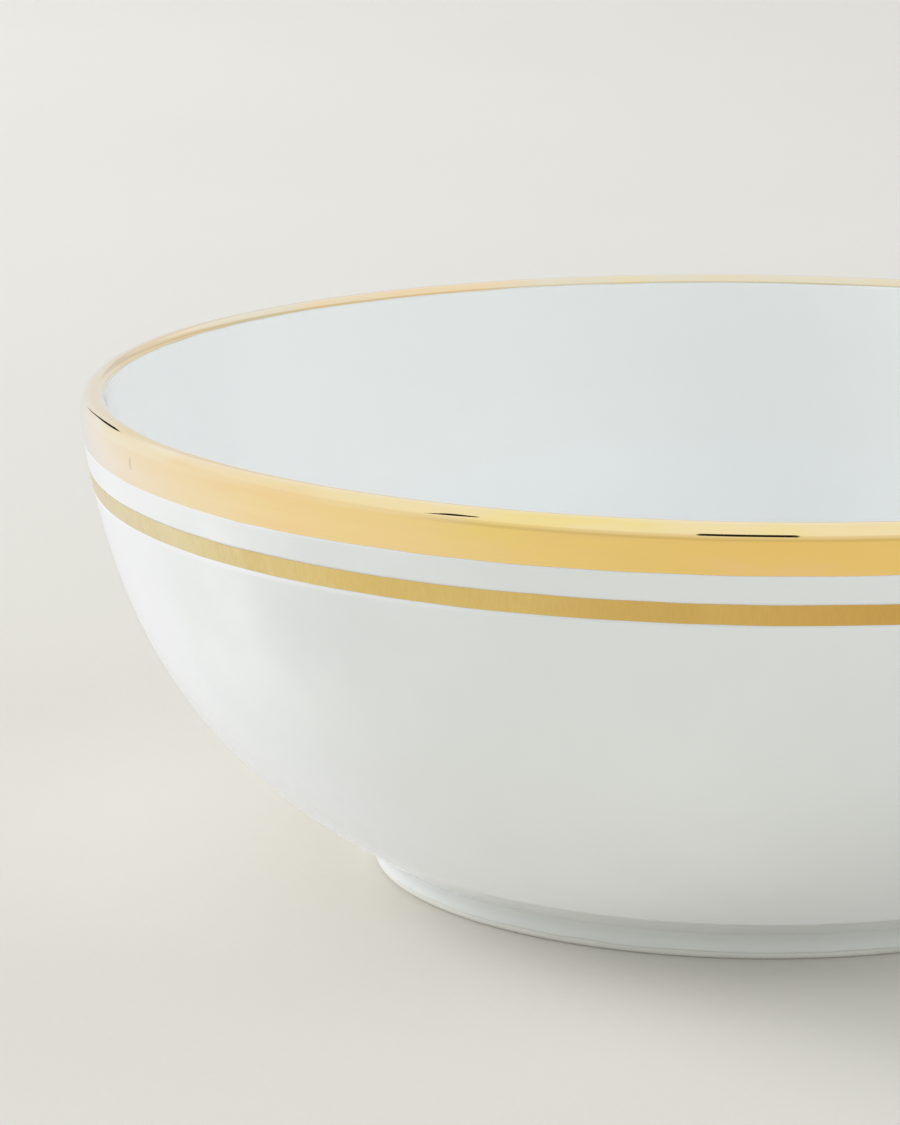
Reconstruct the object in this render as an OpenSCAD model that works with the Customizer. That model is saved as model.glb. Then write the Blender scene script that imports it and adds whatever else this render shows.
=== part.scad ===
// Porcelain serving bowl on a low foot ring, with a gilded lip and one thin gilded band below it.
// Millimetres. The table is z = 0 and the axis of the bowl is the Z axis.
//
// The bowl is one fired body. A coat of clear glaze lies on it inside and out, and the gilding lies
// in the glaze. Only the edge of the foot ring, which stands in the kiln, stays bare.
// Every piece is a ring or a dish turned about Z, and all of them follow one glazed outline.

/* [Bowl] */
// Outer diameter at the widest ring, just under the lip
bowl_d = 242; // [224:1:262]
// Height from the table to the crown of the lip
bowl_h = 87.5; // [78:0.5:98]
// Slope of the wall as it leaves the foot ring, in degrees above level
foot_flare = 30; // [24:1:38]
// Lean of the wall just under the lip, in degrees from upright
rim_lean = 8.7; // [5:0.1:12]
// How long the wall keeps its slope above the foot ring, as a share of its run outwards
lower_fullness = 0.645; // [0.58:0.005:0.7]
// How long the wall keeps its lean below the lip, as a share of its rise
upper_fullness = 0.545; // [0.48:0.005:0.6]

/* [Inside] */
// Height of the inside floor above the table
floor_h = 9.5; // [8.5:0.1:11]
// Radius of the level middle of the inside floor
floor_r = 40; // [34:1:46]
// How long the inside keeps level as it leaves the floor, as a share of its run outwards
well_fullness = 0.615; // [0.57:0.005:0.66]
// How long the inside keeps its lean below the lip, as a share of its rise
inside_fullness = 0.683; // [0.64:0.001:0.72]

/* [Lip] */
// Radius of the gentle shoulder between the wall and the lip
shoulder_r = 7; // [4:0.5:8]
// How far the shoulder turns in, in degrees above level
shoulder_turn = 20; // [10:1:30]
// Radius that rounds the lip to the outside
lip_outer_r = 2.6; // [2:0.1:3]
// Radius that rounds the lip to the inside
lip_inner_r = 1.6; // [1.2:0.1:2]

/* [Foot ring] */
// Outer diameter of the foot ring
foot_d = 136.6; // [128:0.2:146]
// Height at which the wall leaves the foot ring
foot_h = 5.2; // [4.6:0.1:6]
// Width of the foot ring
foot_w = 5.4; // [4.8:0.1:7]
// Radius of the soft corner between the foot ring and the wall
foot_corner_r = 3; // [1:0.1:3.4]
// Radius that rounds both edges of the foot ring
foot_edge_r = 1; // [0.4:0.1:1]
// Height of the underside above the table, next to the foot ring
recess_h = 4; // [3.4:0.1:4.4]
// Radius of the corner between the foot ring and the underside
recess_corner_r = 2; // [1:0.1:2]
// How much higher the underside is in its middle
recess_rise = 0.5; // [0:0.1:0.8]

/* [Glaze] */
// Thickness of the glaze
glaze_t = 0.3; // [0.2:0.05:0.5]
// Height of the bare edge of the foot ring
bare_h = 1.2; // [1.1:0.1:1.4]

/* [Gilding] */
// How far the gilding reaches down from the crown on the outside
rim_band_h = 8.3; // [7.2:0.1:11]
// Drop from the crown to the top of the thin band
thin_band_drop = 13.2; // [12.5:0.1:24]
// Height of the thin band
thin_band_h = 3.5; // [1.5:0.1:6]
// Thickness of the gilding
gold_t = 0.1; // [0.06:0.01:0.15]
// How far the gilding stands out of the glaze
gold_proud = 0.02; // [0.01:0.01:0.05]

/* [Hidden] */
$fn = 180;

bowl_r = bowl_d / 2;
foot_r = foot_d / 2;
recess_r = foot_r - foot_w;
gold_bed = gold_t - gold_proud;

// Radius of the circle on which the two roundings of the lip meet, at the crown
crown_r = bowl_r - shoulder_r + (shoulder_r - lip_outer_r) * cos(shoulder_turn);

// Steps along each stretch of the outline
wall_steps = 36;
band_steps = 4;
round_steps = 10;
base_steps = 12;

// ---- Stretches of outline ----
// A stretch is a list of [point, normal] pairs, and a point is [radius, height]. Along a stretch
// the porcelain is always on the left and the normal points out of it, to the right.

function right_of(direction) = [direction[1], -direction[0]] / norm(direction);

function line(from, to) = [for (p = [from, to]) [p, right_of(to - from)]];

// Arc about a centre, between two angles. It bulges when the angle grows and hollows when it falls.
function arc(centre, radius, from, to) = [
    for (i = [0:round_steps])
        let (
            angle = from + (to - from) * i / round_steps,
            spoke = [cos(angle), sin(angle)]
        )
        [centre + radius * spoke, to > from ? spoke : -spoke]
];

function bezier(p, t) =
    pow(1 - t, 3) * p[0] + 3 * t * pow(1 - t, 2) * p[1] + 3 * t * t * (1 - t) * p[2] + pow(t, 3) * p[3];

function bezier_direction(p, t) =
    pow(1 - t, 2) * (p[1] - p[0]) + 2 * t * (1 - t) * (p[2] - p[1]) + t * t * (p[3] - p[2]);

// Part of a four-point curve, between two of its parameters
function curve(p, from, to, steps) = [
    for (i = [0:steps])
        let (t = from + (to - from) * i / steps)
        [bezier(p, t), right_of(bezier_direction(p, t))]
];

// Parameter at which a rising curve reaches a height, found by halving
function parameter_at(p, height, low = 0, high = 1, halvings = 30) =
    let (middle = (low + high) / 2)
    halvings == 0 ? middle
    : bezier(p, middle)[1] < height ? parameter_at(p, height, middle, high, halvings - 1)
    : parameter_at(p, height, low, middle, halvings - 1);

// Stretches end to end, with each shared point kept once
function joined(stretches) = [
    for (i = [0:len(stretches) - 1])
        for (j = [(i == 0 ? 0 : 1):len(stretches[i]) - 1])
            stretches[i][j]
];

// Points of a stretch, moved along its normals
function raised(stretch, height) = [for (s = stretch) s[0] + height * s[1]];

function reversed(points) = [for (i = [len(points) - 1:-1:0]) points[i]];

// ---- Glazed outline, from the foot ring up the outside, over the lip and down to the floor ----

foot_corner_centre = [foot_r + foot_corner_r, foot_h - foot_corner_r * cos(foot_flare)];
lip_outer_centre = [crown_r, bowl_h - lip_outer_r];
lip_inner_centre = [crown_r, bowl_h - lip_inner_r];
shoulder_centre = [
    bowl_r - shoulder_r,
    lip_outer_centre[1] - (shoulder_r - lip_outer_r) * sin(shoulder_turn)
];

wall_start = foot_corner_centre + foot_corner_r * [-sin(foot_flare), cos(foot_flare)];
wall_end = shoulder_centre + shoulder_r * [cos(rim_lean), -sin(rim_lean)];
wall_size = wall_end - wall_start;
wall_curve = [
    wall_start,
    wall_start + lower_fullness * wall_size[0] * [cos(foot_flare), sin(foot_flare)],
    wall_end - upper_fullness * wall_size[1] * [sin(rim_lean), cos(rim_lean)],
    wall_end
];

inside_start = lip_inner_centre + lip_inner_r * [-cos(rim_lean), sin(rim_lean)];
inside_end = [floor_r, floor_h];
inside_size = inside_start - inside_end;
inside_curve = [
    inside_start,
    inside_start - inside_fullness * inside_size[1] * [sin(rim_lean), cos(rim_lean)],
    inside_end + well_fullness * inside_size[0] * [1, 0],
    inside_end
];

rim_band_t = parameter_at(wall_curve, bowl_h - rim_band_h);
thin_band_top_t = parameter_at(wall_curve, bowl_h - thin_band_drop);
thin_band_bottom_t = parameter_at(wall_curve, bowl_h - thin_band_drop - thin_band_h);

below_bands = joined([
    line([foot_r, bare_h], [foot_r, foot_corner_centre[1]]),
    arc(foot_corner_centre, foot_corner_r, 180, 90 + foot_flare),
    curve(wall_curve, 0, thin_band_bottom_t, wall_steps)
]);
under_thin_band = curve(wall_curve, thin_band_bottom_t, thin_band_top_t, band_steps);
between_bands = curve(wall_curve, thin_band_top_t, rim_band_t, band_steps);
under_rim_band = joined([
    curve(wall_curve, rim_band_t, 1, band_steps),
    arc(shoulder_centre, shoulder_r, -rim_lean, shoulder_turn),
    arc(lip_outer_centre, lip_outer_r, shoulder_turn, 90),
    arc(lip_inner_centre, lip_inner_r, 90, 180 - rim_lean)
]);
inside = joined([
    curve(inside_curve, 0, 1, wall_steps),
    line(inside_end, [0, floor_h])
]);
whole_outline = joined([below_bands, under_thin_band, between_bands, under_rim_band, inside]);

// ---- Glazed outline of the underside, from the axis out to the foot ring ----

dome_r = recess_r - recess_corner_r;
underside = joined([
    [
        for (i = [0:base_steps])
            let (
                share = i / base_steps,
                height = recess_h + recess_rise * (1 + cos(180 * share)) / 2,
                slope = -recess_rise * sin(180 * share) * PI / 2 / dome_r
            )
            [[dome_r * share, height], right_of([1, slope])]
    ],
    arc([dome_r, recess_h - recess_corner_r], recess_corner_r, 90, 0),
    line([recess_r, recess_h - recess_corner_r], [recess_r, bare_h])
]);

// ---- Bare edge of the foot ring, from its inner face round to its outer face ----

bare_edge = concat(
    arc([recess_r + glaze_t + foot_edge_r, foot_edge_r], foot_edge_r, 180, 270),
    arc([foot_r - glaze_t - foot_edge_r, foot_edge_r], foot_edge_r, 270, 360)
);

// ---- Sub-parts ----

// Skin that lies on a stretch of outline, between two heights above it
module skin(stretch, low, high) {
    rotate_extrude()
        polygon(concat(raised(stretch, high), reversed(raised(stretch, low))));
}

// Fired body: wall, floor and foot ring in one
module porcelain_body() {
    color([0.93, 0.93, 0.90])
        rotate_extrude()
            polygon(concat(
                raised(whole_outline, -glaze_t),
                raised(underside, -glaze_t),
                raised(bare_edge, 0)
            ));
}

// Glaze over the outside, the lip and the inside, with a shallow bed for each band of gold
module glaze_coat() {
    color([0.95, 0.96, 0.95])
        rotate_extrude()
            polygon(concat(
                raised(below_bands, 0),
                raised(under_thin_band, -gold_bed),
                raised(between_bands, 0),
                raised(under_rim_band, -gold_bed),
                raised(inside, 0),
                reversed(raised(whole_outline, -glaze_t))
            ));
}

// Glaze on the underside, inside the foot ring
module base_glaze() {
    color([0.92, 0.93, 0.92])
        skin(underside, -glaze_t, 0);
}

// Burnished gold over the lip and down the outside
module rim_gilding() {
    color([0.88, 0.72, 0.38])
        skin(under_rim_band, -gold_bed, gold_proud);
}

// Satin gold band a little lower on the outside
module thin_gilded_band() {
    color([0.78, 0.62, 0.32])
        skin(under_thin_band, -gold_bed, gold_proud);
}

porcelain_body();
glaze_coat();
base_glaze();
rim_gilding();
thin_gilded_band();
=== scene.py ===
import math

import bmesh
import bpy
import numpy as np
from mathutils import Matrix, Vector


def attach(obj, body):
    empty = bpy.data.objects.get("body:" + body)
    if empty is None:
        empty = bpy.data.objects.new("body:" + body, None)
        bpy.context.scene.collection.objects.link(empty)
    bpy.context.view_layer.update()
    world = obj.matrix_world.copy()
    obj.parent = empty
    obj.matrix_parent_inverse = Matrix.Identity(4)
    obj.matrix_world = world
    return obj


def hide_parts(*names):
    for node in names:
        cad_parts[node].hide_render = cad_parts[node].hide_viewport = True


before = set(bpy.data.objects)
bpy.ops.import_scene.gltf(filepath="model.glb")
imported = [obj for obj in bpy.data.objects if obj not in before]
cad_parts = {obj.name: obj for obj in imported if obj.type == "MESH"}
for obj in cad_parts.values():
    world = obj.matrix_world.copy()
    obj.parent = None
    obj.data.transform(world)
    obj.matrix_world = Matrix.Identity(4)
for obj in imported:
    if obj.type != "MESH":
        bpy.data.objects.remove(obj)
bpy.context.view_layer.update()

# A white porcelain bowl with a gilded lip and a thin gilded band.
# Every piece is turned about Z on the outline that the CAD part uses. Outlines are worked out in
# millimetres, and the meshes are made in metres.
MM = 0.001

# ---- Sizes of the CAD part, in millimetres and radians ----

BOWL_R = 121.0
BOWL_H = 87.5
FOOT_FLARE = math.radians(30)
RIM_LEAN = math.radians(8.7)
LOWER_FULLNESS = 0.645
UPPER_FULLNESS = 0.545
FLOOR_H = 9.5
FLOOR_R = 40.0
WELL_FULLNESS = 0.615
INSIDE_FULLNESS = 0.683
SHOULDER_R = 7.0
SHOULDER_TURN = math.radians(20)
LIP_OUTER_R = 2.6
LIP_INNER_R = 1.6
FOOT_R = 68.3
FOOT_H = 5.2
FOOT_W = 5.4
FOOT_CORNER_R = 3.0
FOOT_EDGE_R = 1.0
RECESS_H = 4.0
RECESS_CORNER_R = 2.0
RECESS_RISE = 0.5
GLAZE_T = 0.3
BARE_H = 1.2
RIM_BAND_H = 8.3
THIN_BAND_DROP = 13.2
THIN_BAND_H = 3.5
GOLD_T = 0.1
GOLD_PROUD = 0.02
GOLD_BED = GOLD_T - GOLD_PROUD
RECESS_R = FOOT_R - FOOT_W
CROWN_R = BOWL_R - SHOULDER_R + (SHOULDER_R - LIP_OUTER_R) * math.cos(SHOULDER_TURN)

# ---- Sizes that only the looks use, in millimetres ----

# Length over which the end of the glaze rounds off, and length after which it is full and even
END_ROLL = 0.35
END_CLEAR = 0.6
# Width of the step at each edge of a bed for gold, and length kept clear of rings beside the beds
BED_STEP = 0.02
BED_CLEAR = 0.4
INSIDE_CLEAR = 0.5
# Rounded edge of a gold film, as lengths in from the edge and shares of its height there
FILM_EDGE = ((0.004, 0.4), (0.03, 0.85))
FILM_FLAT = 0.09

# Segments round the bowl, and points along each stretch of an outline
SEGMENTS = 288
FINE = 400
rng = np.random.default_rng(11)


# ---- Outlines ----


def unit(angle):
    return np.array([math.cos(angle), math.sin(angle)])


def arc(centre, radius, start, end):
    a = np.linspace(start, end, FINE)
    return np.asarray(centre) + radius * np.stack([np.cos(a), np.sin(a)], 1)


def line(start, end):
    t = np.linspace(0, 1, FINE)[:, None]
    return (1 - t) * np.asarray(start, float) + t * np.asarray(end, float)


def bezier(p0, p1, p2, p3):
    t = np.linspace(0, 1, 4 * FINE)[:, None]
    return (1 - t) ** 3 * p0 + 3 * t * (1 - t) ** 2 * p1 + 3 * t * t * (1 - t) * p2 + t**3 * p3


class Outline:
    """A smooth line in the (radius, height) plane, walked by its length, with its normal on the right."""

    def __init__(self, *stretches):
        points = [stretches[0]]
        for s in stretches[1:]:
            points.append(s[1:])
        p = np.vstack(points)
        keep = np.r_[True, np.linalg.norm(np.diff(p, axis=0), axis=1) > 1e-7]
        self.p = p[keep]
        step = np.linalg.norm(np.diff(self.p, axis=0), axis=1)
        self.s = np.r_[0, np.cumsum(step)]
        d = np.gradient(self.p, self.s, axis=0)
        d /= np.linalg.norm(d, axis=1, keepdims=True)
        self.n = np.stack([d[:, 1], -d[:, 0]], 1)
        self.length = self.s[-1]

    def at(self, s, offset=0.0):
        """Radius and height at lengths s, moved by offset along the normal."""
        s = np.asarray(s, float)
        out = []
        for k in (0, 1):
            out.append(np.interp(s, self.s, self.p[:, k]) + offset * np.interp(s, self.s, self.n[:, k]))
        return np.stack(out, -1)

    def length_at_height(self, height, until):
        """Length at which the rising part of the line, up to length until, reaches a height."""
        rising = self.s <= until
        return float(np.interp(height, self.p[rising, 1], self.s[rising]))


def length_of(points):
    return float(np.linalg.norm(np.diff(points, axis=0), axis=1).sum())


foot_corner = np.array([FOOT_R + FOOT_CORNER_R, FOOT_H - FOOT_CORNER_R * math.cos(FOOT_FLARE)])
lip_outer = np.array([CROWN_R, BOWL_H - LIP_OUTER_R])
lip_inner = np.array([CROWN_R, BOWL_H - LIP_INNER_R])
shoulder_drop = (SHOULDER_R - LIP_OUTER_R) * math.sin(SHOULDER_TURN)
shoulder = np.array([BOWL_R - SHOULDER_R, lip_outer[1] - shoulder_drop])
wall_start = foot_corner + FOOT_CORNER_R * unit(math.pi / 2 + FOOT_FLARE)
wall_end = shoulder + SHOULDER_R * unit(-RIM_LEAN)
wall_size = wall_end - wall_start
lean_up = unit(math.pi / 2 - RIM_LEAN)
inside_start = lip_inner + LIP_INNER_R * unit(math.pi - RIM_LEAN)
inside_end = np.array([FLOOR_R, FLOOR_H])
inside_size = inside_start - inside_end

stretches = [
    line([FOOT_R, BARE_H], [FOOT_R, foot_corner[1]]),
    arc(foot_corner, FOOT_CORNER_R, math.pi, math.pi / 2 + FOOT_FLARE),
    bezier(
        wall_start,
        wall_start + LOWER_FULLNESS * wall_size[0] * unit(FOOT_FLARE),
        wall_end - UPPER_FULLNESS * wall_size[1] * lean_up,
        wall_end,
    ),
    arc(shoulder, SHOULDER_R, -RIM_LEAN, SHOULDER_TURN),
    arc(lip_outer, LIP_OUTER_R, SHOULDER_TURN, math.pi / 2),
    arc(lip_inner, LIP_INNER_R, math.pi / 2, math.pi - RIM_LEAN),
    bezier(
        inside_start,
        inside_start - INSIDE_FULLNESS * inside_size[1] * lean_up,
        inside_end + WELL_FULLNESS * np.array([inside_size[0], 0]),
        inside_end,
    ),
    line(inside_end, [0, FLOOR_H]),
]
outline = Outline(*stretches)

# Lengths along the outline at which its stretches and the edges of the gold start
ends = [0.0]
for stretch in stretches:
    ends.append(ends[-1] + length_of(stretch))
S_FOOT, S_CORNER, S_WALL, S_SHOULDER, _, S_CROWN, S_INSIDE, S_FLOOR, S_AXIS = ends
S_RIM_EDGE = outline.length_at_height(BOWL_H - RIM_BAND_H, S_SHOULDER)
S_THIN_TOP = outline.length_at_height(BOWL_H - THIN_BAND_DROP, S_SHOULDER)
S_THIN_LOW = outline.length_at_height(BOWL_H - THIN_BAND_DROP - THIN_BAND_H, S_SHOULDER)

# Underside, from the axis out to the foot ring
dome_r = RECESS_R - RECESS_CORNER_R
dome_share = np.linspace(0, 1, FINE)
dome_h = RECESS_H + RECESS_RISE * (1 + np.cos(math.pi * dome_share)) / 2
dome = np.stack([dome_r * dome_share, dome_h], 1)
dome_length = length_of(dome)
underside = Outline(
    dome,
    arc([dome_r, RECESS_H - RECESS_CORNER_R], RECESS_CORNER_R, math.pi / 2, 0),
    line([RECESS_R, RECESS_H - RECESS_CORNER_R], [RECESS_R, BARE_H]),
)


# ---- Hand-made unevenness: slow waves round the bowl, in millimetres ----

theta = np.linspace(0, 2 * math.pi, SEGMENTS, endpoint=False)
WAVE_FADE = 0.6


def waves(size, first, last):
    """A closed wavy line round the bowl, of the given spread, with between first and last waves."""
    total = np.zeros(SEGMENTS)
    for k in range(first, last + 1):
        height, phase = rng.normal() / k**WAVE_FADE, rng.uniform(0, 2 * math.pi)
        total += height * np.cos(k * theta + phase)
    return size * total / total.std()


def between(low_wave, high_wave, k):
    return (1 - k) * low_wave + k * high_wave


rim_edge_wave = waves(0.045, 3, 60)
rim_inside_wave = waves(0.06, 3, 60)
thin_top_wave = waves(0.035, 3, 70)
thin_low_wave = waves(0.035, 3, 70)
glaze_end_wave = np.abs(waves(0.12, 2, 40))
base_end_wave = np.abs(waves(0.12, 2, 40))


# ---- Turning a list of rings into a mesh ----


class Rings:
    """Rings of one piece, in order round its section. Each ring is a radius and a height per segment."""

    def __init__(self):
        self.rings = []

    def add(self, path, lengths, offset, shift=None, shift_share=1.0):
        """Rings at lengths along a path, off it by offset, each moved along it by its share of shift."""
        lengths = np.atleast_1d(np.asarray(lengths, float))
        offset = np.broadcast_to(np.asarray(offset, float), lengths.shape)
        shift_share = np.broadcast_to(np.asarray(shift_share, float), lengths.shape)
        for s, o, k in zip(lengths, offset, shift_share):
            moved = np.full(SEGMENTS, s) + (0 if shift is None else k * shift)
            self.rings.append(path.at(moved, o))

    def add_stretches(self, path, offset, *stretches):
        """Evenly spaced rings over several stretches, each (start, end, steps)."""
        for start, end, steps in stretches:
            self.add(path, spaced(start, end, steps), offset)

    def add_points(self, points):
        for r, z in points:
            self.rings.append(np.broadcast_to(np.array([r, z]), (SEGMENTS, 2)))

    def mesh(self, name):
        """A solid turned about Z. Rings of zero radius become one point on the axis."""
        verts, ids = [], []
        for ring in self.rings:
            if ring[:, 0].max() < 1e-6:
                ids.append([len(verts)] * SEGMENTS)
                verts.append((0.0, 0.0, float(ring[:, 1].mean()) * MM))
                continue
            ids.append(range(len(verts), len(verts) + SEGMENTS))
            x, y = ring[:, 0] * np.cos(theta), ring[:, 0] * np.sin(theta)
            verts.extend(zip(x * MM, y * MM, ring[:, 1] * MM))
        faces = []
        for a, below in enumerate(ids):
            above = ids[(a + 1) % len(ids)]
            pole_below, pole_above = below[0] == below[1], above[0] == above[1]
            if pole_below and pole_above:
                continue
            for i in range(SEGMENTS):
                j = (i + 1) % SEGMENTS
                if pole_below:
                    faces.append((below[i], above[j], above[i]))
                elif pole_above:
                    faces.append((below[i], below[j], above[i]))
                else:
                    faces.append((below[i], below[j], above[j], above[i]))
        data = bpy.data.meshes.new(name)
        data.from_pydata(verts, [], faces)
        data.update()
        data.shade_smooth()
        piece = bpy.data.objects.new(name, data)
        bpy.context.scene.collection.objects.link(piece)
        return piece


def spaced(start, end, steps, both=False):
    """Lengths from start to end, without the last one unless both is true."""
    return np.linspace(start, end, steps + 1)[: None if both else -1]


# ---- Pieces ----

# Fired body, under the glaze, with the bare edge of the foot ring
body = Rings()
body.add_stretches(
    outline,
    -GLAZE_T,
    (S_FOOT, S_CORNER, 3),
    (S_CORNER, S_WALL, 8),
    (S_WALL, S_SHOULDER, 70),
    (S_SHOULDER, S_CROWN, 20),
    (S_CROWN, S_INSIDE, 10),
    (S_INSIDE, S_FLOOR, 70),
)
body.add(outline, spaced(S_FLOOR, S_AXIS, 4, True), -GLAZE_T)
body.add(underside, spaced(0, dome_length, 30), -GLAZE_T)
body.add(underside, spaced(dome_length, underside.length, 12, True), -GLAZE_T)
inner_edge = np.array([RECESS_R + GLAZE_T + FOOT_EDGE_R, FOOT_EDGE_R])
outer_edge = np.array([FOOT_R - GLAZE_T - FOOT_EDGE_R, FOOT_EDGE_R])
quarter_turn = np.linspace(0, math.pi / 2, 8)
body.add_points(inner_edge + FOOT_EDGE_R * unit(math.pi + a) for a in quarter_turn)
body.add_points([(1 - t) * inner_edge[0] + t * outer_edge[0], 0.0] for t in (0.25, 0.5, 0.75))
body.add_points(outer_edge + FOOT_EDGE_R * unit(1.5 * math.pi + a) for a in quarter_turn)
fired_body = body.mesh("fired_body")


def gold_bed(rings, low, high, low_wave, high_wave, steps):
    """Shallow bed in the glaze for a band of gold, between two wavy edges."""
    rings.add(outline, [low - BED_STEP], 0.0, low_wave)
    for s in spaced(low, high, steps, True):
        rings.add(outline, [s], -GOLD_BED, between(low_wave, high_wave, (s - low) / (high - low)))
    rings.add(outline, [high + BED_STEP], 0.0, high_wave)


# Clear glaze over the outside, the lip and the inside
roll_angles = np.linspace(0, math.pi / 2, 7)
glaze = Rings()
for a in roll_angles:
    end = S_FOOT + END_ROLL * (1 - math.cos(a))
    glaze.add(outline, [end], -GLAZE_T * (1 - math.sin(a)), glaze_end_wave)
glaze.add(outline, spaced(S_FOOT + END_CLEAR, S_CORNER, 4), 0.0, glaze_end_wave, np.linspace(0.8, 0, 4))
glaze.add_stretches(outline, 0.0, (S_CORNER, S_WALL, 10), (S_WALL, S_THIN_LOW, 84))
gold_bed(glaze, S_THIN_LOW, S_THIN_TOP, thin_low_wave, thin_top_wave, 4)
glaze.add(outline, spaced(S_THIN_TOP + BED_CLEAR, S_RIM_EDGE - BED_CLEAR, 4, True), 0.0)
gold_bed(glaze, S_RIM_EDGE, S_INSIDE, rim_edge_wave, rim_inside_wave, 44)
glaze.add(outline, spaced(S_INSIDE + INSIDE_CLEAR, S_FLOOR, 84), 0.0)
glaze.add(outline, spaced(S_FLOOR, S_AXIS, 8, True), 0.0)
glaze.add_stretches(
    outline,
    -GLAZE_T,
    (S_AXIS, S_FLOOR, 3),
    (S_FLOOR, S_INSIDE, 24),
    (S_INSIDE, S_SHOULDER, 16),
    (S_SHOULDER, S_WALL, 24),
)
glaze.add(outline, spaced(S_WALL, S_FOOT + END_CLEAR, 8, True), -GLAZE_T)
clear_glaze = glaze.mesh("clear_glaze_coat")

# Glaze on the underside, inside the foot ring
base = Rings()
base.add(underside, spaced(0, dome_length, 40), 0.0)
base.add(underside, spaced(dome_length, underside.length - END_CLEAR, 14, True), 0.0)
for a in roll_angles:
    end = underside.length - END_ROLL * (1 - math.sin(a))
    base.add(underside, [end], -GLAZE_T * (1 - math.cos(a)), -base_end_wave)
base.add(underside, spaced(underside.length - END_CLEAR, dome_length, 6), -GLAZE_T)
base.add(underside, spaced(dome_length, 0, 12, True), -GLAZE_T)
underside_glaze = base.mesh("underside_glaze")


def gilding(name, low, high, low_wave, high_wave, steps):
    """A film of gold on the outline, with softly rounded edges."""
    rings = Rings()

    def ring(s, offset):
        rings.add(outline, [s], offset, between(low_wave, high_wave, (s - low) / (high - low)))

    ring(low, -GOLD_BED)
    for inset, height in FILM_EDGE:
        ring(low + inset, GOLD_PROUD * height)
    for s in spaced(low + FILM_FLAT, high - FILM_FLAT, steps, True):
        ring(s, GOLD_PROUD)
    for inset, height in reversed(FILM_EDGE):
        ring(high - inset, GOLD_PROUD * height)
    for s in spaced(high, low, steps):
        ring(s, -GOLD_BED)
    return rings.mesh(name)


burnished = gilding("rim_gold_film", S_RIM_EDGE, S_INSIDE, rim_edge_wave, rim_inside_wave, 60)
satin = gilding("thin_gold_film", S_THIN_LOW, S_THIN_TOP, thin_low_wave, thin_top_wave, 10)

for piece, node, slot in (
    (fired_body, "porcelain_body", "fired_porcelain"),
    (clear_glaze, "glaze_coat", "clear_glaze"),
    (underside_glaze, "base_glaze", "base_glaze"),
    (burnished, "rim_gilding", "burnished_gold"),
    (satin, "thin_gilded_band", "satin_gold"),
):
    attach(piece, "root")
    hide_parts(node)


# ---- Materials ----


class Nodes:
    """Short calls for building a node tree."""

    def __init__(self, tree):
        self.tree = tree
        tree.nodes.clear()

    def new(self, kind, **values):
        node = self.tree.nodes.new(kind)
        for key, value in values.items():
            setattr(node, key, value)
        return node

    def link(self, source, target):
        self.tree.links.new(source, target)

    def put(self, socket, value):
        if isinstance(value, bpy.types.NodeSocket):
            self.link(value, socket)
        else:
            socket.default_value = value

    def math(self, operation, a, b=0.0):
        node = self.new("ShaderNodeMath", operation=operation)
        self.put(node.inputs[0], a)
        self.put(node.inputs[1], b)
        return node.outputs[0]

    def ramp(self, value, low, high, out_low=0.0, out_high=1.0):
        """Smooth step from out_low to out_high as value goes from low to high."""
        node = self.new("ShaderNodeMapRange", interpolation_type="SMOOTHSTEP")
        self.put(node.inputs["Value"], value)
        node.inputs["From Min"].default_value = low
        node.inputs["From Max"].default_value = high
        node.inputs["To Min"].default_value = out_low
        node.inputs["To Max"].default_value = out_high
        return node.outputs["Result"]

    def near(self, value, target, full, none):
        """1 within full of the target, falling to 0 at none away from it."""
        away = self.math("ABSOLUTE", self.math("SUBTRACT", value, target))
        return self.ramp(away, full, none, 1.0, 0.0)

    def mix(self, share, a, b):
        node = self.new("ShaderNodeMix", data_type="RGBA")
        self.put(node.inputs[0], share)
        self.put(node.inputs[6], a)
        self.put(node.inputs[7], b)
        return node.outputs[2]

    def position(self):
        return self.new("ShaderNodeTexCoord").outputs["Object"]

    def xyz(self, vector):
        node = self.new("ShaderNodeSeparateXYZ")
        self.link(vector, node.inputs[0])
        return [node.outputs[k] for k in "XYZ"]

    def stretched(self, vector, scale):
        node = self.new("ShaderNodeVectorMath", operation="MULTIPLY")
        self.link(vector, node.inputs[0])
        node.inputs[1].default_value = scale
        return node.outputs[0]

    def noise(self, vector, scale, detail=2.0, roughness=0.5):
        node = self.new("ShaderNodeTexNoise")
        self.link(vector, node.inputs["Vector"])
        node.inputs["Scale"].default_value = scale
        node.inputs["Detail"].default_value = detail
        node.inputs["Roughness"].default_value = roughness
        return node.outputs["Fac"]

    def dots(self, vector, scale, radius, share):
        """1 in small round dots: one cell in a grid of that scale holds a dot as often as share says."""
        node = self.new("ShaderNodeTexVoronoi", feature="F1")
        self.link(vector, node.inputs["Vector"])
        node.inputs["Scale"].default_value = scale
        dot = self.ramp(node.outputs["Distance"], radius * 0.5, radius, 1.0, 0.0)
        pick = self.new("ShaderNodeSeparateColor")
        self.link(node.outputs["Color"], pick.inputs[0])
        return self.math("MULTIPLY", dot, self.math("LESS_THAN", pick.outputs[0], share))

    def bump(self, height, distance, normal=None):
        node = self.new("ShaderNodeBump")
        node.inputs["Strength"].default_value = 1.0
        node.inputs["Distance"].default_value = distance
        self.link(height, node.inputs["Height"])
        if normal is not None:
            self.link(normal, node.inputs["Normal"])
        return node.outputs[0]

    def principled(self, **values):
        node = self.new("ShaderNodeBsdfPrincipled")
        for key, value in values.items():
            self.put(node.inputs[key.replace("_", " ")], value)
        return node.outputs[0]

    def output(self, shader):
        self.link(shader, self.new("ShaderNodeOutputMaterial").inputs[0])

    def surface(self, **values):
        """Ends the material in one principled shader."""
        self.output(self.principled(**values))


def material(name):
    made = bpy.data.materials.new(name)
    made.use_nodes = True
    return made, Nodes(made.node_tree)


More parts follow.
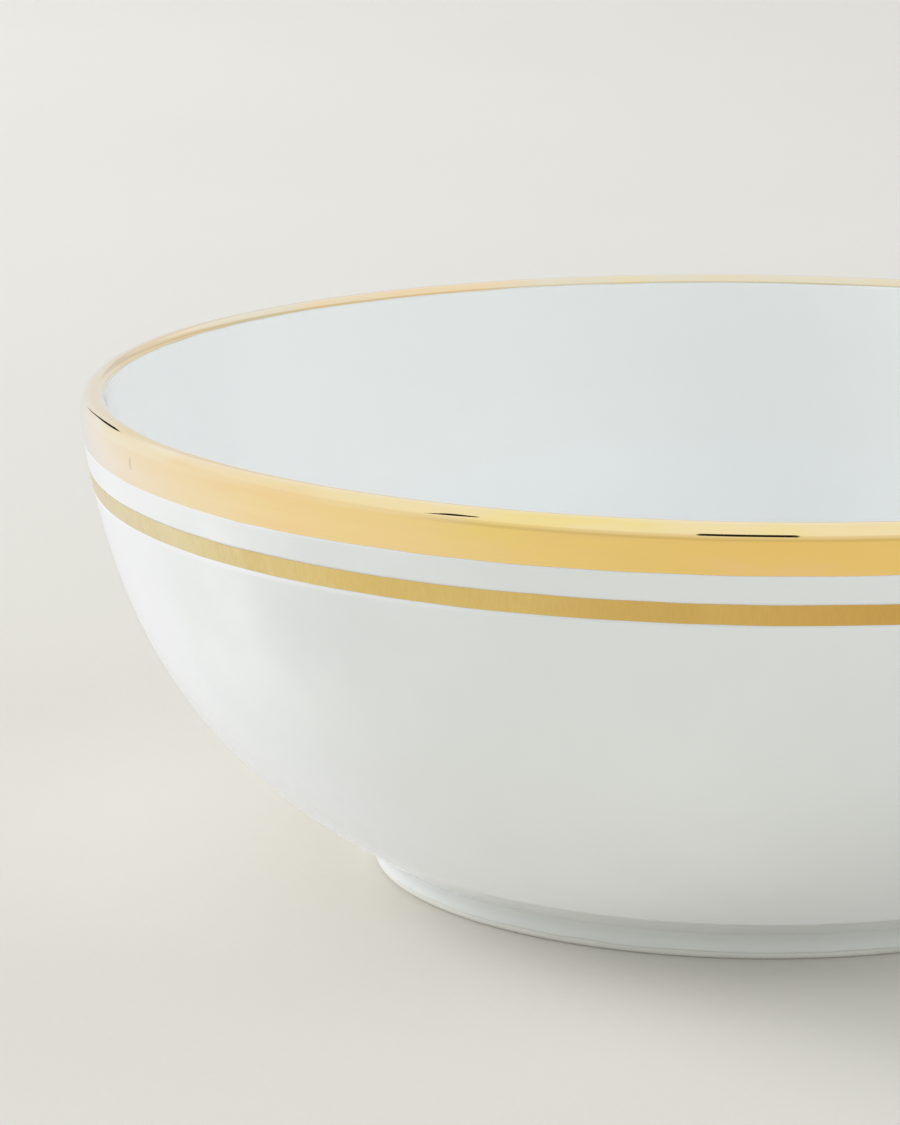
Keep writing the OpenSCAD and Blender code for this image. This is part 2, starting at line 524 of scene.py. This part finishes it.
def tinted(colour, factor):
    """The colour times a factor, short of full white."""
    return [min(c * factor, 0.97) for c in colour[:3]] + [1]


# Lengths in the materials are in metres, and tones are linear.

WHITE_GLAZE = (0.92, 0.925, 0.915, 1)
# Darker glaze at the foot: a tint of glaze pooling with painted shade of the foot under the overhang
GLAZE_POOLED_AND_SHADED = (0.73, 0.75, 0.71, 1)
WHITE_BASE_GLAZE = (0.92, 0.925, 0.91, 1)
BASE_GLAZE_POOLED = (0.85, 0.88, 0.85, 1)
GLAZE_SPECK = (0.42, 0.38, 0.33, 1)


def glazed(name, white, pooled_and_shaded):
    """Glossy white glaze: a little lighter low down as painted light, a little more grey high on the
    outside over one quarter of the bowl as painted shade, darker at the foot with a tint of glaze pooling
    and painted shade of the foot under the overhang, with faint cloudiness, rare specks and a fine
    ripple."""
    made, n = material(name)
    at = n.position()
    x, y, z = n.xyz(at)
    # Lighter low down as painted light
    tone = n.mix(n.ramp(z, 0.015, 0.075), tinted(white, 1.03), white)

    # A quarter of the outside is made grey high up as painted shade
    quarter = n.math("ADD", n.math("MULTIPLY", x, -0.9), n.math("MULTIPLY", y, -0.45))
    outwards = n.new("ShaderNodeVectorMath", operation="DOT_PRODUCT")
    n.link(n.stretched(at, (1, 1, 0)), outwards.inputs[0])
    n.link(n.new("ShaderNodeTexCoord").outputs["Normal"], outwards.inputs[1])
    painted_shade_high = n.math("MULTIPLY", n.ramp(quarter, 0.060, 0.122), n.ramp(z, 0.010, 0.070))
    painted_shade_high = n.math("MULTIPLY", painted_shade_high, n.ramp(outwards.outputs["Value"], -0.02, 0.02))
    tone = n.mix(painted_shade_high, tone, tinted(white, 0.86))

    tone = n.mix(n.ramp(n.noise(at, 28, 3), 0.3, 0.7), tone, tinted(white, 0.985))
    # Darker at the foot: glaze pooling, with painted shade under the overhang on the outside
    pool_and_painted_shade = n.ramp(z, 0.0036, 0.0062, 0.7, 0.0)
    tone = n.mix(pool_and_painted_shade, tone, pooled_and_shaded)
    speck = n.dots(at, 95, 0.013, 0.05)
    tone = n.mix(n.math("MULTIPLY", speck, 0.35), tone, GLAZE_SPECK)

    ripple = n.bump(n.noise(at, 120, 2), 0.00004)
    n.surface(
        Base_Color=tone,
        Roughness=n.ramp(n.noise(at, 60, 2), 0.3, 0.7, 0.045, 0.075),
        IOR=1.52,
        Normal=n.bump(n.noise(at, 900, 2), 0.000003, ripple),
        Subsurface_Weight=0.06,
        Subsurface_Radius=(1.0, 0.8, 0.6),
        Subsurface_Scale=0.002,
    )
    return made


FIRED_WHITE = (0.81, 0.80, 0.76, 1)
FIRED_CREAM = (0.78, 0.765, 0.72, 1)
FIRED_GRAIN = (0.74, 0.71, 0.64, 1)
KILN_GRIT = (0.35, 0.30, 0.25, 1)


def fired(name):
    """Bare fired porcelain: matt, very fine grained, warm white, with a little kiln grit."""
    made, n = material(name)
    at = n.position()
    grain = n.noise(at, 2600, 3, 0.6)
    cloud = n.ramp(n.noise(at, 90, 3), 0.3, 0.7)
    tone = n.mix(cloud, FIRED_WHITE, FIRED_CREAM)
    tone = n.mix(n.ramp(grain, 0.35, 0.7, 0.0, 0.25), tone, FIRED_GRAIN)
    grit = n.dots(at, 420, 0.12, 0.05)
    tone = n.mix(n.math("MULTIPLY", grit, 0.6), tone, KILN_GRIT)
    n.surface(Base_Color=tone, Roughness=0.78, Normal=n.bump(grain, 0.00006))
    return made


RICH_GOLD = (0.99, 0.645, 0.138, 1)
# Paler and creamier gold towards the left is painted reflection of the bright light on that side
PAINTED_REFLECTION_GOLD = (0.985, 0.70, 0.24, 1)
CREAM_PAINTED_REFLECTION_GOLD = (0.985, 0.745, 0.40, 1)
# Paler gold over the lip is a painted highlight
LIP_PAINTED_HIGHLIGHT_GOLD = (0.985, 0.735, 0.31, 1)
CREAM_LIP_PAINTED_LIGHT_GOLD = (0.985, 0.80, 0.46, 1)
# Duller, paler gold at the back of the lip is painted reflection
BACK_LIP_PAINTED_REFLECTION_GOLD = (0.84, 0.715, 0.45, 1)
PINKER_GOLD = (0.99, 0.64, 0.25, 1)
YELLOWER_GOLD = (0.985, 0.72, 0.13, 1)
STREAK_GOLD = (0.93, 0.60, 0.16, 1)
BARE_SPOT = (0.16, 0.10, 0.05, 1)
# The nick in the gold: its turn to the left of the front in radians, and its height
NICK_TURN = 1.066
NICK_Z = 0.0831
# Height over which the gold of the band turns into the paler gold of the lip, a painted highlight
LIP_FROM, LIP_TO = 0.0850, 0.0856


def burnished_gold(name):
    """Mirror gold fired on the glaze: paler over the lip as a painted highlight, paler and creamier
    towards one side and duller at the back of the lip as painted reflection, with soft clouds of pinker
    and yellower gold, fine streaks, rare pin holes and one nick."""
    made, n = material(name)
    at = n.position()
    x, y, z = n.xyz(at)

    drift = n.noise(n.stretched(at, (1, 1, 3)), 26, 3)
    side = n.math("ADD", x, n.math("MULTIPLY", drift, 0.03))
    # Towards the left the gold turns paler and creamier as painted reflection
    pale_side_reflection = n.ramp(side, -0.055, -0.105)
    band = n.mix(n.ramp(side, 0.02, -0.05), RICH_GOLD, PAINTED_REFLECTION_GOLD)
    band = n.mix(pale_side_reflection, band, CREAM_PAINTED_REFLECTION_GOLD)
    lip = n.mix(pale_side_reflection, LIP_PAINTED_HIGHLIGHT_GOLD, CREAM_LIP_PAINTED_LIGHT_GOLD)
    # The back of the lip turns duller as painted reflection
    lip = n.mix(n.ramp(y, 0.01, 0.07), lip, BACK_LIP_PAINTED_REFLECTION_GOLD)
    # The lip is paler than the band as a painted highlight
    tone = n.mix(n.ramp(z, LIP_FROM, LIP_TO), band, lip)

    cloud = n.noise(n.stretched(at, (1, 1, 5)), 19, 3, 0.55)
    tone = n.mix(n.ramp(cloud, 0.50, 0.64, 0.0, 0.55), tone, PINKER_GOLD)
    tone = n.mix(n.ramp(cloud, 0.48, 0.34, 0.0, 0.50), tone, YELLOWER_GOLD)
    streak = n.noise(n.stretched(at, (0.12, 0.12, 3.5)), 420, 3, 0.6)
    tone = n.mix(n.ramp(streak, 0.35, 0.7, 0.0, 0.10), tone, STREAK_GOLD)

    turn = n.math("ARCTAN2", x, n.math("MULTIPLY", y, -1.0))
    turn = n.math("ABSOLUTE", n.math("ADD", turn, n.math("MULTIPLY", streak, 0.002)))
    nick = n.math("MULTIPLY", n.near(turn, NICK_TURN, 0.0016, 0.0032), n.math("LESS_THAN", x, 0.0))
    nick = n.math("MULTIPLY", nick, n.near(z, NICK_Z, 0.0008, 0.0014))
    hole = n.math("MAXIMUM", n.dots(at, 160, 0.022, 0.04), n.math("MULTIPLY", nick, 0.45))
    tone = n.mix(n.math("MULTIPLY", hole, 0.85), tone, BARE_SPOT)

    wave = n.bump(n.noise(at, 75, 2), 0.00005)
    n.surface(
        Base_Color=tone,
        Metallic=1.0,
        Roughness=n.math("ADD", n.ramp(streak, 0.3, 0.8, 0.03, 0.06), n.math("MULTIPLY", hole, 0.4)),
        Normal=n.bump(streak, 0.000001, wave),
        Coat_Weight=1.0,
        Coat_IOR=1.7,
        Coat_Roughness=0.03,
    )
    return made


SATIN_RICH = (0.73, 0.44, 0.112, 1)
# Paler and creamier satin gold towards the left is painted reflection
SATIN_PAINTED_REFLECTION_PALE = (0.83, 0.59, 0.19, 1)
SATIN_PAINTED_REFLECTION_CREAM = (0.90, 0.76, 0.41, 1)
SATIN_MARKS = (0.55, 0.34, 0.09, 1)
SATIN_PATCHES = (0.60, 0.38, 0.10, 1)


def satin_gold(name):
    """Satin gold laid with a brush: very fine marks cross the band from edge to edge, and the gold is
    paler and creamier towards one side as painted reflection."""
    made, n = material(name)
    at = n.position()
    marks = n.noise(n.stretched(at, (1, 1, 0.05)), 2400, 4, 0.6)
    patch = n.noise(n.stretched(at, (1, 1, 0.3)), 70, 3)
    drift = n.math("MULTIPLY", n.math("SUBTRACT", patch, 0.5), 0.03)
    side = n.math("ADD", n.xyz(at)[0], drift)
    # Towards the left the satin gold turns paler and creamier as painted reflection
    tone = n.mix(n.ramp(side, 0.025, -0.05), SATIN_RICH, SATIN_PAINTED_REFLECTION_PALE)
    tone = n.mix(n.ramp(side, -0.06, -0.110), tone, SATIN_PAINTED_REFLECTION_CREAM)
    tone = n.mix(n.ramp(marks, 0.3, 0.7, 0.13, 0.0), tone, SATIN_MARKS)
    tone = n.mix(n.ramp(patch, 0.35, 0.65, 0.0, 0.12), tone, SATIN_PATCHES)
    rough = n.ramp(marks, 0.3, 0.7, 0.40, 0.30)
    n.surface(Base_Color=tone, Metallic=1.0, Roughness=rough, Normal=n.bump(marks, 0.000005))
    return made


PAPER_FRONT = (0.722, 0.692, 0.642, 1)
PAPER_BACK = (0.735, 0.711, 0.672, 1)
PAPER_MOTTLE = (0.69, 0.665, 0.625, 1)


def paper(name):
    """Pale studio paper, faintly mottled and a little lighter towards the back as painted light."""
    made, n = material(name)
    at = n.position()
    # Lighter towards the back as painted light
    back = n.ramp(n.xyz(at)[1], -0.2, 0.9)
    tone = n.mix(back, PAPER_FRONT, PAPER_BACK)
    tone = n.mix(n.ramp(n.noise(at, 3, 3), 0.3, 0.7, 0.0, 0.3), tone, PAPER_MOTTLE)
    n.surface(Base_Color=tone, Roughness=0.9, Normal=n.bump(n.noise(at, 700, 3), 0.00005))
    return made


fired_body.data.materials.append(fired("bare_porcelain"))
clear_glaze.data.materials.append(glazed("white_glaze", WHITE_GLAZE, GLAZE_POOLED_AND_SHADED))
underside_glaze.data.materials.append(glazed("white_base_glaze", WHITE_BASE_GLAZE, BASE_GLAZE_POOLED))
burnished.data.materials.append(burnished_gold("mirror_gold"))
satin.data.materials.append(satin_gold("brushed_gold"))


# ---- Studio: one sweep of paper, soft light from all round ----

DEG = math.pi / 180
TENT_R = 6.0
FLAG_AWAY = 1.6
FLAG_FADE = (1.66, 1.74)
AMBIENT = (0.61, 0.635, 0.63, 1)
LOW_LIGHT = (0.77, 0.77, 0.76, 1)
HIGH_LIGHT = (0.90, 0.97, 1.15, 1)
LEFT_LIGHT = (0.88, 0.92, 1.03, 1)
BLACK = (0.0, 0.0, 0.0, 1)
CLOTH_DARK = (0.004, 0.003, 0.003, 1)
CLOTH_WORN = (0.012, 0.009, 0.007, 1)
SOFT_LIGHTS = (
    # name, where, width and height, watts, colour, aim
    ("back_wall_wash", (-2.6, 0.9, 1.25), (1.6, 1.6), 73.0, (1.0, 1.0, 1.0), (0.0, 0.8, 0.0)),
    ("soft_right", (1.9, -0.1, 1.0), (1.2, 1.0), 7.8, (0.93, 0.93, 1.0), (0.0, 0.0, 0.04)),
    ("soft_front", (0.0, -2.2, 1.0), (1.6, 1.0), 5.6, (0.9, 1.0, 0.93), (0.0, 0.0, 0.04)),
)


def staged(name, verts, faces):
    data = bpy.data.meshes.new(name)
    data.from_pydata(verts, [], faces)
    made = bpy.data.objects.new(name, data)
    bpy.context.scene.collection.objects.link(made)
    return made


def only_mirrored(made):
    """Leaves an object to be seen only by reflections."""
    made.visible_camera = False
    made.visible_diffuse = False
    made.visible_shadow = False
    made.visible_transmission = False


def sweep():
    """Floor that turns up into a backdrop, as one smooth sheet."""
    half, front, back, radius, bend_steps = 4.0, -1.9, 1.3, 0.9, 24
    side = [(front, 0.0), (-1.0, 0.0), (0.0, 0.0), (back, 0.0)]
    for i in range(1, bend_steps + 1):
        a = math.pi / 2 * i / bend_steps
        side.append((back + radius * math.sin(a), radius * (1 - math.cos(a))))
    xs = np.linspace(-half, half, 17)
    wide = len(xs)
    faces = []
    for i in range(len(side) - 1):
        for a in range(i * wide, i * wide + wide - 1):
            faces.append((a, a + 1, a + wide + 1, a + wide))
    made = staged("paper_sweep", [(x, y, z) for y, z in side for x in xs], faces)
    made.data.shade_smooth()
    return made


floor = sweep()
floor.data.materials.append(paper("studio_paper"))
floor.visible_glossy = False

world = bpy.data.worlds.new("studio")
bpy.context.scene.world = world
world.use_nodes = True
world_nodes = Nodes(world.node_tree)
ambient = world_nodes.new("ShaderNodeBackground")
ambient.inputs["Color"].default_value = AMBIENT
ambient.inputs["Strength"].default_value = 1.0
world_nodes.link(ambient.outputs[0], world_nodes.new("ShaderNodeOutputWorld").inputs[0])


def tent_cloth():
    """Glow of the tent: cool and bright above and to the left, neutral and dimmer low down, with a
    slightly darker strip low in front."""
    made, n = material("tent_cloth")
    way = n.new("ShaderNodeVectorMath", operation="NORMALIZE")
    n.link(n.position(), way.inputs[0])
    x, y, z = n.xyz(way.outputs[0])
    height = n.math("ARCSINE", z)
    turn = n.math("ARCTAN2", x, n.math("MULTIPLY", y, -1.0))

    left = n.math("MULTIPLY", n.ramp(turn, -10 * DEG, -105 * DEG), n.ramp(turn, -170 * DEG, -135 * DEG))
    left = n.math("MULTIPLY", left, n.ramp(height, -60 * DEG, -38 * DEG))
    tone = n.mix(left, LOW_LIGHT, LEFT_LIGHT)
    tone = n.mix(n.ramp(height, 24 * DEG, 33 * DEG), tone, HIGH_LIGHT)
    strip = n.math("MULTIPLY", n.ramp(height, 10 * DEG, 14 * DEG), n.ramp(height, 22 * DEG, 18 * DEG))
    strip = n.math("MULTIPLY", strip, n.ramp(turn, -62 * DEG, -45 * DEG, 0.0, 0.14))
    tone = n.mix(strip, tone, BLACK)

    glow = n.new("ShaderNodeEmission")
    n.link(tone, glow.inputs["Color"])
    n.output(glow.outputs[0])
    made.cycles.emission_sampling = "NONE"
    return made


def gloss_tent():
    """White tent round the set that is only mirrored, so that the gold and the glaze have soft studio
    walls to reflect."""
    data = bpy.data.meshes.new("gloss_tent")
    shape = bmesh.new()
    bmesh.ops.create_uvsphere(shape, u_segments=64, v_segments=32, radius=TENT_R)
    shape.to_mesh(data)
    shape.free()
    data.shade_smooth()
    data.materials.append(tent_cloth())
    made = bpy.data.objects.new("gloss_tent", data)
    only_mirrored(made)
    bpy.context.scene.collection.objects.link(made)


gloss_tent()


def soft_light(name, at, size, power, colour, aim):
    """Large soft light that lights the paper and the porcelain but is not mirrored in the gold."""
    data = bpy.data.lights.new(name, "AREA")
    data.shape = "RECTANGLE"
    data.size, data.size_y = size
    data.energy = power
    data.color = colour
    made = bpy.data.objects.new(name, data)
    made.location = at
    made.rotation_mode = "QUATERNION"
    made.rotation_quaternion = (Vector(aim) - Vector(at)).to_track_quat("-Z", "Y")
    made.visible_glossy = False
    bpy.context.scene.collection.objects.link(made)


for light in SOFT_LIGHTS:
    soft_light(*light)


def dark_flag(name, seen_from, corners):
    """Dark card seen only as a dark line mirrored in the gold. A corner is a turn and a rise in
    degrees, as seen from that spot on the lip."""
    verts = []
    for turn, rise in corners:
        t, r = turn * DEG, rise * DEG
        way = Vector((math.sin(t) * math.cos(r), -math.cos(t) * math.cos(r), math.sin(r)))
        verts.append(Vector(seen_from) + FLAG_AWAY * way)
    middle = sum(verts, Vector()) / len(verts)
    count = len(verts)
    faces = [(i, (i + 1) % count, count) for i in range(count)]
    made = staged(name, [v - middle for v in verts + [middle]], faces)
    made.location = middle
    only_mirrored(made)
    made.data.materials.append(black_cloth)


def flag_cloth():
    """Black cloth that the lip mirrors, and that fades out for all that is further off, such as the
    inside wall."""
    made, n = material("black_cloth")
    weave = n.noise(n.position(), 400, 2)
    tone = n.mix(weave, CLOTH_DARK, CLOTH_WORN)
    ray = n.new("ShaderNodeLightPath").outputs["Ray Length"]
    fading = n.new("ShaderNodeMixShader")
    n.link(n.ramp(ray, FLAG_FADE[0], FLAG_FADE[1]), fading.inputs[0])
    n.link(n.principled(Base_Color=tone, Roughness=1.0), fading.inputs[1])
    n.link(n.new("ShaderNodeBsdfTransparent").outputs[0], fading.inputs[2])
    n.output(fading.outputs[0])
    return made


black_cloth = flag_cloth()
dark_flag(
    "flag_front",
    (0.0, -0.1205, 0.0858),
    [(-9.4, 29.5), (-8.8, 24.5), (8.2, 24.0), (8.8, 29.0), (8.2, 34.5), (-8.8, 34.5)],
)
dark_flag(
    "flag_front_left",
    (-0.0475, -0.1107, 0.0861),
    [(-61, 33), (-62, 40), (-65, 47), (-64, 49), (-57.5, 48), (-54.5, 43), (-56, 38), (-59, 34)],
)
dark_flag(
    "flag_back_left",
    (-0.112, -0.042, 0.087),
    [(-156, 3), (-154.2, 8.5), (-154, 13.5), (-154.4, 17.5), (-154, 19.5), (-150, 20.8)]
    + [(-148, 18.7), (-149.6, 16), (-151.7, 12.5), (-153.5, 7.5)],
)

# ---- Camera: about 0.96 m away, a little above the lip, the bowl to the right of the picture ----

CAMERA_AT = Vector((0.0, -0.95804, 0.26827))
CAMERA_PITCH = math.radians(12.607)
CAMERA_TURN = math.radians(3.258)
CAMERA_ROLL = math.radians(0.213)

camera_data = bpy.data.cameras.new("camera")
camera_data.lens = 173.09
camera_data.sensor_width = 36
camera_data.clip_start = 0.05
camera_data.clip_end = 50
camera = bpy.data.objects.new("camera", camera_data)
camera.matrix_world = (
    Matrix.Translation(CAMERA_AT)
    @ Matrix.Rotation(CAMERA_TURN, 4, "Z")
    @ Matrix.Rotation(math.pi / 2 - CAMERA_PITCH, 4, "X")
    @ Matrix.Rotation(CAMERA_ROLL, 4, "Z")
)
bpy.context.scene.collection.objects.link(camera)
bpy.context.scene.camera = camera

# ---- Tones: straight up to LINEAR_TO, then the brightest whites roll off softly to WHITE ----

LINEAR_TO = (0.86, 0.86)
ROLL_OFF = (1.3, 0.975)
WHITE = (2.0, 1.0)

view = bpy.context.scene.view_settings
view.view_transform = "Standard"
view.look = "None"
view.exposure = 0.0
view.gamma = 1.0
curves = view.curve_mapping
curves.clip_max_x = 2.0
curves.clip_max_y = 2.0
curves.extend = "HORIZONTAL"
for channel in range(3):
    curves.curves[channel].points[1].location = (2.0, 2.0)
combined = curves.curves[3]
combined.points[1].location = LINEAR_TO
combined.points.new(*ROLL_OFF)
combined.points.new(*WHITE)
for point in combined.points:
    point.handle_type = "VECTOR"
curves.update()
view.use_curve_mapping = True
